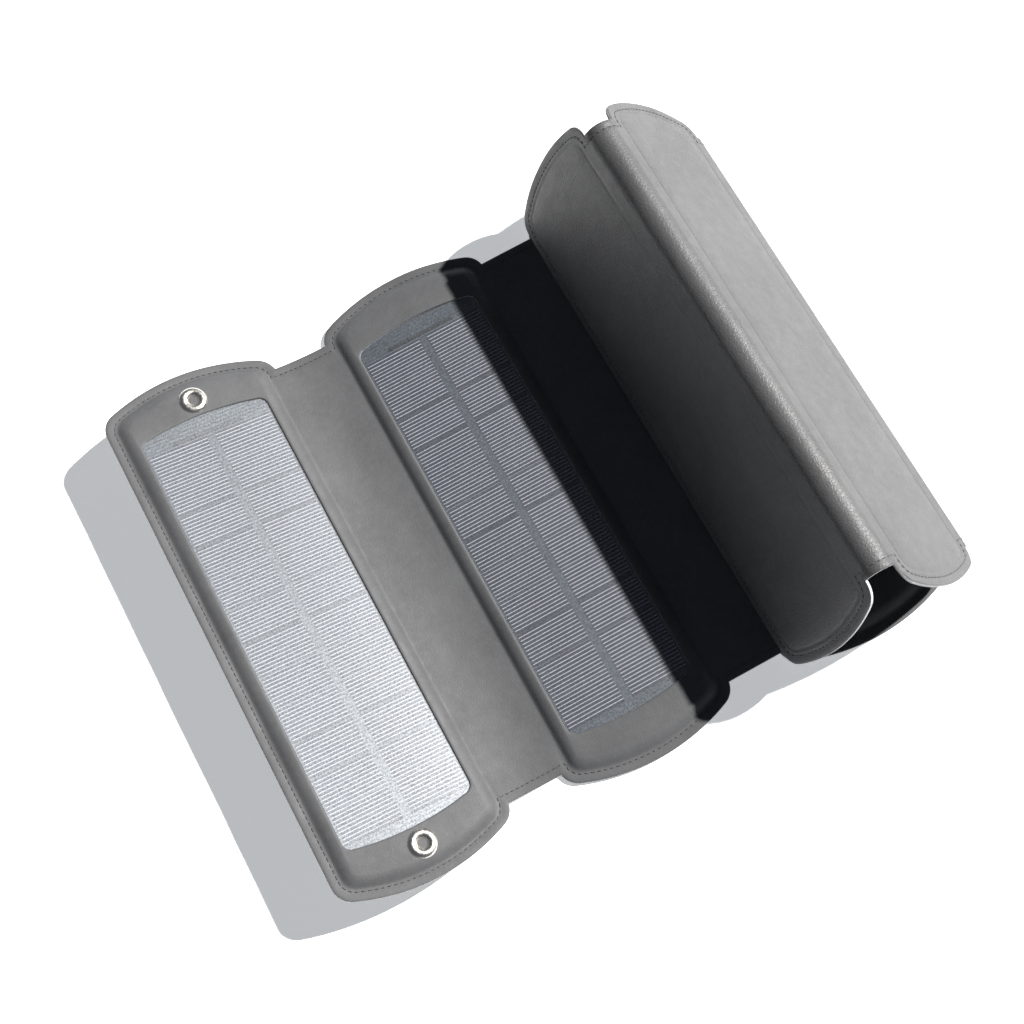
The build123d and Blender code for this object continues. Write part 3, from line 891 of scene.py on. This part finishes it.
def plastic_material():
    """Moulded black plastic with spark-eroded texture."""
    n = Nodes("housing_plastic")
    place = n.object()
    erosion = n.noise(place, 2600.0, 3.0, 0.6)
    wear = n.noise(place, 90.0, 3.0)
    tone = n.mix(n.grey(wear, 0.3, 0.7), (0.012, 0.012, 0.013), (0.022, 0.022, 0.024))
    n.surface(Base_Color=tone, Roughness=n.grey(wear, 0.3, 0.7, 0.42, 0.56),
              Normal=n.bump(erosion, 0.5, 0.00006))
    return n.material


def circuit_material():
    n = Nodes("circuit_board")
    place = n.object()
    traces = n.cells(place, 420.0, feature="DISTANCE_TO_EDGE", randomness=0.2)
    mask = n.grey(traces, 0.08, 0.05)
    tone = n.mix(mask, (0.01, 0.09, 0.035), (0.03, 0.17, 0.07))
    n.surface(Base_Color=tone, Roughness=0.35, Normal=n.bump(mask, 0.3, 0.00005))
    return n.material


def lead_material():
    """Tinned lead in dark insulation."""
    n = Nodes("regulator_lead")
    marks = n.noise(n.object(), 800.0, 3.0)
    n.surface(Base_Color=n.mix(marks, (0.03, 0.03, 0.03), (0.09, 0.07, 0.05)), Roughness=0.5,
              Normal=n.bump(marks, 0.2, 0.0001))
    return n.material


def lens_material():
    n = Nodes("lens")
    place = n.object()
    cloud = n.noise(place, 700.0, 3.0)
    tone = n.mix(cloud, (0.55, 0.85, 0.6), (0.75, 0.95, 0.8))
    n.surface(Base_Color=tone, Roughness=n.grey(cloud, 0.3, 0.7, 0.12, 0.22),
              Transmission_Weight=0.35, IOR=1.49, Normal=n.bump(cloud, 0.1, 0.00005))
    return n.material


def floor_material():
    n = Nodes("floor")
    place = n.object()
    cloud = n.noise(place, 6.0, 4.0)
    tone = n.mix(n.grey(cloud, 0.3, 0.7), (0.86, 0.865, 0.87), (0.89, 0.893, 0.90))
    n.surface(Base_Color=tone, Roughness=0.9, Specular_IOR_Level=0.1, Emission_Color=(0.97, 0.99, 1.0, 1.0),
              Emission_Strength=0.425)
    return n.material


front = leather_material("front_leather", (0.063, 0.064, 0.067), 0.22, 0.60, 0.30)
back = leather_material("back_leather", (0.060, 0.060, 0.062), 0.50, 0.47, 0.40)
edge = edge_material()
thread = thread_material()
ribbon = cable_material()

# ---- build the soft pieces ----
for i in SECTION:
    front_leather(i, front, edge)
    back_leather(i, back, edge)
    outline = section_ring(i, 0.0)
    pairs = zip(outline, outline[1:] + outline[:1])
    abs(sum(a[0] * b[1] - b[0] * a[1] for a, b in pairs)) / 2.0
    section_stitching(i, thread)
    stop = 0.0 if i == 5 else WIDTHS[i] / 2.0
    begin = 0.0 if i == 1 else -WIDTHS[i] / 2.0
    spans = [begin + (stop - begin) * k / 8 for k in range(9)]
    cable = cable_piece(f"cable_{i}", spans, lambda l, y, h, i=i: on_section(i, l, y, h),
                        START[i] + WIDTHS[i] / 2.0, ribbon, f"section_{i}")
    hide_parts(f"flat_cable_{i}")

narrow = {i: [] for i in SECTION}
for i in GUSSET:
    for half in ("a", "b"):
        first, last = (0.0, GUSSETS[i] / 2.0) if half == "a" else (GUSSETS[i] / 2.0, GUSSETS[i])
        for side, leather in (("front", front), ("back", back)):
            piece = bend_with(gusset_leather(i, half, side, leather, edge), half)
            if last - first >= SHEET_LEAST:
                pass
            else:
                narrow[i if half == "a" else i + 1].append(piece)
        bend_with(gusset_stitching(i, half, thread), half)
        spans = [first + (last - first) * k / 16 for k in range(17)]
        cable = cable_piece(f"gusset_cable_{i}{half}", spans, lambda l, y, h, i=i: on_gusset(i, l, y, h),
                            START[i] + WIDTHS[i], ribbon)
        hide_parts(f"gusset_cable_{i}")
        bend_with(cable, half)

for i in SECTION:
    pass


def paint(names, material):
    for name in names:
        for slot in nodes[name].material_slots:
            slot.material = material


modules = (1, 2, 3, 4)
board = fibre_material()
foil = metal_material("tinned_foil", (0.005, 0.006, 0.008), 0.5, 900.0)
nickel = eyelet_material()
steel = metal_material("socket_steel", (0.70, 0.71, 0.72), 0.22, 600.0)
screw = metal_material("screw_steel", (0.42, 0.42, 0.43), 0.26, 800.0)
plastic = plastic_material()
paint([f"fibre_board_{i}" for i in SECTION], board)
for i in modules:
    paint([f"module_board_{i}"], module_material(i))
    paint([f"solar_cells_{i}"], cell_material(i))
    paint([f"clear_film_{i}"], film_material(i))
paint([f"connecting_foils_{i}" for i in modules], foil)
paint(["eyelet_upper", "eyelet_lower", "eyelet_washer_upper", "eyelet_washer_lower"], nickel)
paint(["regulator_base", "regulator_lid"], plastic)
paint(["regulator_board"], circuit_material())
paint(["usb_socket_left", "usb_socket_right"], steel)
paint(["regulator_screws"], screw)
paint(["indicator_lens"], lens_material())
paint(["regulator_lead"], lead_material())

# ---- floor, light and camera ----
bm = bmesh.new()
bmesh.ops.create_grid(bm, x_segments=8, y_segments=8, size=4.0)
floor_mesh = bpy.data.meshes.new("floor")
bm.to_mesh(floor_mesh)
bm.free()
floor_mesh.materials.append(floor_material())
floor = bpy.data.objects.new("floor", floor_mesh)
floor.location = (0.0, 0.0, cad_low[2] - 0.0003)
bpy.context.scene.collection.objects.link(floor)

scene = bpy.context.scene
scene.view_settings.view_transform = "Standard"
scene.view_settings.look = "None"
world = bpy.data.worlds.new("studio")
scene.world = world
world.use_nodes = True
sky = world.node_tree
direction = sky.nodes.new("ShaderNodeTexCoord").outputs["Generated"]
split = sky.nodes.new("ShaderNodeSeparateXYZ")
sky.links.new(direction, split.inputs[0])
glow = sky.nodes.new("ShaderNodeValToRGB")
sky.links.new(split.outputs["Z"], glow.inputs["Fac"])
glow.color_ramp.elements[0].color = (1.0, 1.0, 1.0, 1.0)
glow.color_ramp.elements[1].color = (0.16, 0.19, 0.24, 1.0)
middle = glow.color_ramp.elements.new(0.45)
middle.color = (0.34, 0.37, 0.42, 1.0)
sky.links.new(glow.outputs["Color"], sky.nodes["Background"].inputs["Color"])
sky.nodes["Background"].inputs["Strength"].default_value = 0.30

key = bpy.data.lights.new("key", "SUN")
key.energy = SUN_POWER
key.angle = math.radians(SUN_WIDTH)
key.color = (1.0, 0.985, 0.96)
key_object = bpy.data.objects.new("key", key)
azimuth, elevation = math.radians(SUN_AZIMUTH), math.radians(SUN_ELEVATION)
level = math.cos(elevation)
towards = Vector((level * math.cos(azimuth), level * math.sin(azimuth), math.sin(elevation)))
key_object.rotation_mode = "QUATERNION"
key_object.rotation_quaternion = towards.to_track_quat("Z", "Y")
scene.collection.objects.link(key_object)

camera_data = bpy.data.cameras.new("camera")
camera_data.lens = LENS
camera_data.sensor_width = 36.0
camera_data.clip_start = 0.01
camera = bpy.data.objects.new("camera", camera_data)
ahead = Vector(CAMERA_AHEAD)
side = ahead.cross(Vector(CAMERA_ABOVE)).normalized()
above = side.cross(ahead).normalized()
turned = Matrix((side, above, -ahead)).transposed().to_4x4()
camera.matrix_world = Matrix.Translation(CAMERA_PLACE) @ turned
scene.collection.objects.link(camera)
scene.camera = camera
